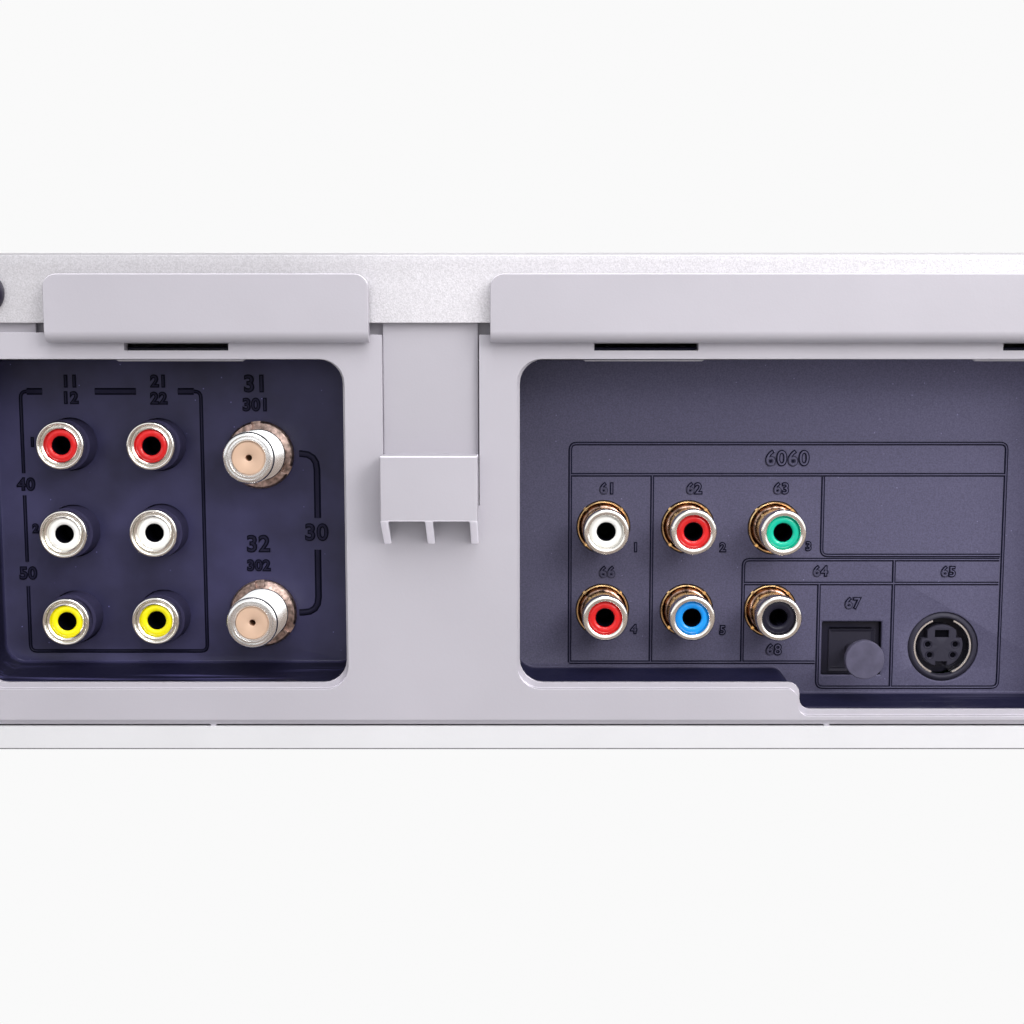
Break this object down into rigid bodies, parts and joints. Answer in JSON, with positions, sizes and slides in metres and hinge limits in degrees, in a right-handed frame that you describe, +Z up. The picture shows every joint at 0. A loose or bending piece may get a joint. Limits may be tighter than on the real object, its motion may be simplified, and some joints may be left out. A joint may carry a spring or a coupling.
{
  "type": "disc and cassette combination player",
  "caption": "Low steel-cased disc and cassette player with recessed rear jack wells, a sliding disc tray, a cassette deck and sprung buttons.",
  "frame": {"origin": "bottom centre of the bounding box, on the surface under the feet", "axes": "+X along the width, +Y towards the rear panel, +Z up; the front faces -Y"},
  "size_m": [0.4318, 0.2908, 0.0985],
  "materials": {
    "pan_steel": "satin silver paint",
    "foot_plastic": "matt black",
    "cover_paint": "metallic silver paint with sparkle",
    "screw_black": "blackened",
    "panel_paint": "satin lilac-grey paint on moulded plastic",
    "well_plastic_dark": "blue-black, fine grain",
    "well_plastic_grey": "dark grey, fine grain",
    "nickel": "nickel plate",
    "black_plastic": "black",
    "gold_plate": "gold flash",
    "red_plastic": "glossy red",
    "white_plastic": "glossy white",
    "yellow_plastic": "glossy yellow",
    "green_plastic": "glossy green",
    "blue_plastic": "glossy blue",
    "tan_plastic": "tan insulator",
    "brass_pins": "plain",
    "board_green": "green circuit board",
    "tin_plate": "zinc plate",
    "component_mix": "transformer tape and capacitor sleeves",
    "front_paint": "satin silver paint",
    "window_tint": "smoked acrylic",
    "display_glass": "display tube glass",
    "button_metal": "bright silver",
    "tray_plastic": "dark grey",
    "gear_plastic": "natural acetal",
    "diecast": "as cast",
    "drum_aluminium": "turned and polished",
    "shaft_steel": "ground steel",
    "roller_rubber": "ground rubber"
  },
  "bodies": {
    "case": {"base_pan": "pan_steel", "feet": "foot_plastic", "top_cover": "cover_paint", "cover_screws": "screw_black", "rear_panel": "panel_paint", "jack_well_tape": "well_plastic_dark", "jack_well_disc": "well_plastic_grey", "phono_shells_tape": "nickel", "phono_block_tape": "black_plastic", "phono_shells_disc": "nickel", "phono_block_disc": "black_plastic", "phono_base_rings": "gold_plate", "phono_inserts_red": "red_plastic", "phono_inserts_white": "white_plastic", "phono_inserts_yellow": "yellow_plastic", "phono_insert_green": "green_plastic", "phono_insert_blue": "blue_plastic", "aerial_connectors": "nickel", "aerial_insulators": "tan_plastic", "aerial_lock_rings": "nickel", "video_socket_shell": "nickel", "video_socket_insert": "black_plastic", "optical_socket": "black_plastic", "mains_inlet": "black_plastic", "mains_pins": "brass_pins", "jack_board": "board_green", "tuner_can": "tin_plate", "lower_boards": "board_green", "power_parts": "component_mix", "front_panel": "front_paint", "front_board": "board_green", "display_window": "window_tint", "display_module": "display_glass", "loader_frame": "black_plastic", "clamp_bridge": "tin_plate", "deck_chassis": "tin_plate", "lower_drum": "diecast"},
    "optical_cap": {"optical_cap": "black_plastic"},
    "power_button": {"power_button": "button_metal"},
    "open_button": {"open_button": "button_metal"},
    "eject_button": {"eject_button": "button_metal"},
    "stop_button": {"stop_button": "button_metal"},
    "play_button": {"play_button": "button_metal"},
    "record_button": {"record_button": "button_metal"},
    "channel_rocker": {"channel_rocker": "button_metal"},
    "cassette_door": {"cassette_door": "front_paint"},
    "disc_tray": {"disc_tray": "tray_plastic", "tray_fascia": "front_paint"},
    "loading_gear": {"loading_gear": "gear_plastic"},
    "traverse": {"traverse": "tin_plate"},
    "turntable": {"turntable": "black_plastic"},
    "pickup": {"pickup": "diecast"},
    "clamper": {"clamper": "black_plastic"},
    "cassette_holder": {"cassette_holder": "tin_plate"},
    "upper_drum": {"upper_drum": "drum_aluminium"},
    "capstan": {"capstan": "shaft_steel"},
    "pinch_arm": {"pinch_arm": "tin_plate"},
    "pinch_roller": {"pinch_roller": "roller_rubber"},
    "supply_reel": {"supply_reel": "black_plastic"},
    "takeup_reel": {"takeup_reel": "black_plastic"}
  },
  "joints": [
    {"name": "power_button_press", "type": "slide", "parent": "case", "child": "power_button", "axis": [0, 1, 0], "range_m": [0, 0.0008], "stiffness_N_per_m": 400},
    {"name": "open_button_press", "type": "slide", "parent": "case", "child": "open_button", "axis": [0, 1, 0], "range_m": [0, 0.0008], "stiffness_N_per_m": 400},
    {"name": "eject_button_press", "type": "slide", "parent": "case", "child": "eject_button", "axis": [0, 1, 0], "range_m": [0, 0.0008], "stiffness_N_per_m": 400},
    {"name": "stop_button_press", "type": "slide", "parent": "case", "child": "stop_button", "axis": [0, 1, 0], "range_m": [0, 0.0008], "stiffness_N_per_m": 400},
    {"name": "play_button_press", "type": "slide", "parent": "case", "child": "play_button", "axis": [0, 1, 0], "range_m": [0, 0.0008], "stiffness_N_per_m": 400},
    {"name": "record_button_press", "type": "slide", "parent": "case", "child": "record_button", "axis": [0, 1, 0], "range_m": [0, 0.0008], "stiffness_N_per_m": 400},
    {"name": "channel_rocker_tilt", "type": "hinge", "parent": "case", "child": "channel_rocker", "pos_m": [0.177, -0.1399, 0.0313], "axis": [1, 0, 0], "range_deg": [-4, 4], "stiffness_Nm_per_rad": 0.08},
    {"name": "cassette_door_swing", "type": "hinge", "parent": "case", "child": "cassette_door", "pos_m": [0.105, -0.1401, 0.083], "axis": [1, 0, 0], "range_deg": [0, 85], "stiffness_Nm_per_rad": 0.003, "springref_deg": -22.92},
    {"name": "cassette_holder_drop", "type": "slide", "parent": "case", "child": "cassette_holder", "axis": [0, 0, -1], "range_m": [0, 0.017]},
    {"name": "optical_cap_pull", "type": "slide", "parent": "case", "child": "optical_cap", "axis": [0, 1, 0], "range_m": [0, 0.008]},
    {"name": "tray_slide", "type": "slide", "parent": "case", "child": "disc_tray", "axis": [0, -1, 0], "range_m": [0, 0.13]},
    {"name": "loading_gear_spin", "type": "hinge", "parent": "case", "child": "loading_gear", "pos_m": [-0.074, -0.1091, 0.064], "axis": [0, 0, -1], "continuous": true},
    {"name": "traverse_lift", "type": "hinge", "parent": "case", "child": "traverse", "pos_m": [-0.12, 0.0579, 0.06475], "axis": [-1, 0, 0], "range_deg": [0, 5]},
    {"name": "turntable_spin", "type": "hinge", "parent": "traverse", "child": "turntable", "pos_m": [-0.12, -0.06581, 0.05719], "axis": [0, -0.0872, 0.9962], "continuous": true},
    {"name": "pickup_travel", "type": "slide", "parent": "traverse", "child": "pickup", "axis": [0, 0.9962, 0.0872], "range_m": [0, 0.034]},
    {"name": "clamper_spin", "type": "hinge", "parent": "case", "child": "clamper", "pos_m": [-0.12, -0.066, 0.08], "axis": [0, 0, 1], "continuous": true},
    {"name": "head_drum_spin", "type": "hinge", "parent": "case", "child": "upper_drum", "pos_m": [0.105, 0.0319, 0.0472], "axis": [0, 0, 1], "continuous": true},
    {"name": "capstan_spin", "type": "hinge", "parent": "case", "child": "capstan", "pos_m": [0.149, 0.0064, 0.0312], "axis": [0, 0, 1], "continuous": true},
    {"name": "pinch_arm_swing", "type": "hinge", "parent": "case", "child": "pinch_arm", "pos_m": [0.169, 0.0204, 0.0452], "axis": [0, 0, 1], "range_deg": [0, 25]},
    {"name": "pinch_roller_spin", "type": "hinge", "parent": "pinch_arm", "child": "pinch_roller", "pos_m": [0.14827, 0.02331, 0.0512], "axis": [0, 0, 1], "continuous": true},
    {"name": "supply_reel_spin", "type": "hinge", "parent": "case", "child": "supply_reel", "pos_m": [0.059, -0.0616, 0.0312], "axis": [0, 0, 1], "continuous": true},
    {"name": "takeup_reel_spin", "type": "hinge", "parent": "case", "child": "takeup_reel", "pos_m": [0.151, -0.0616, 0.0312], "axis": [0, 0, 1], "continuous": true}
  ],
  "couplings": [
    {"joint": "loading_gear_spin", "follows": "tray_slide", "rad_per_m": 188.68}
  ]
}
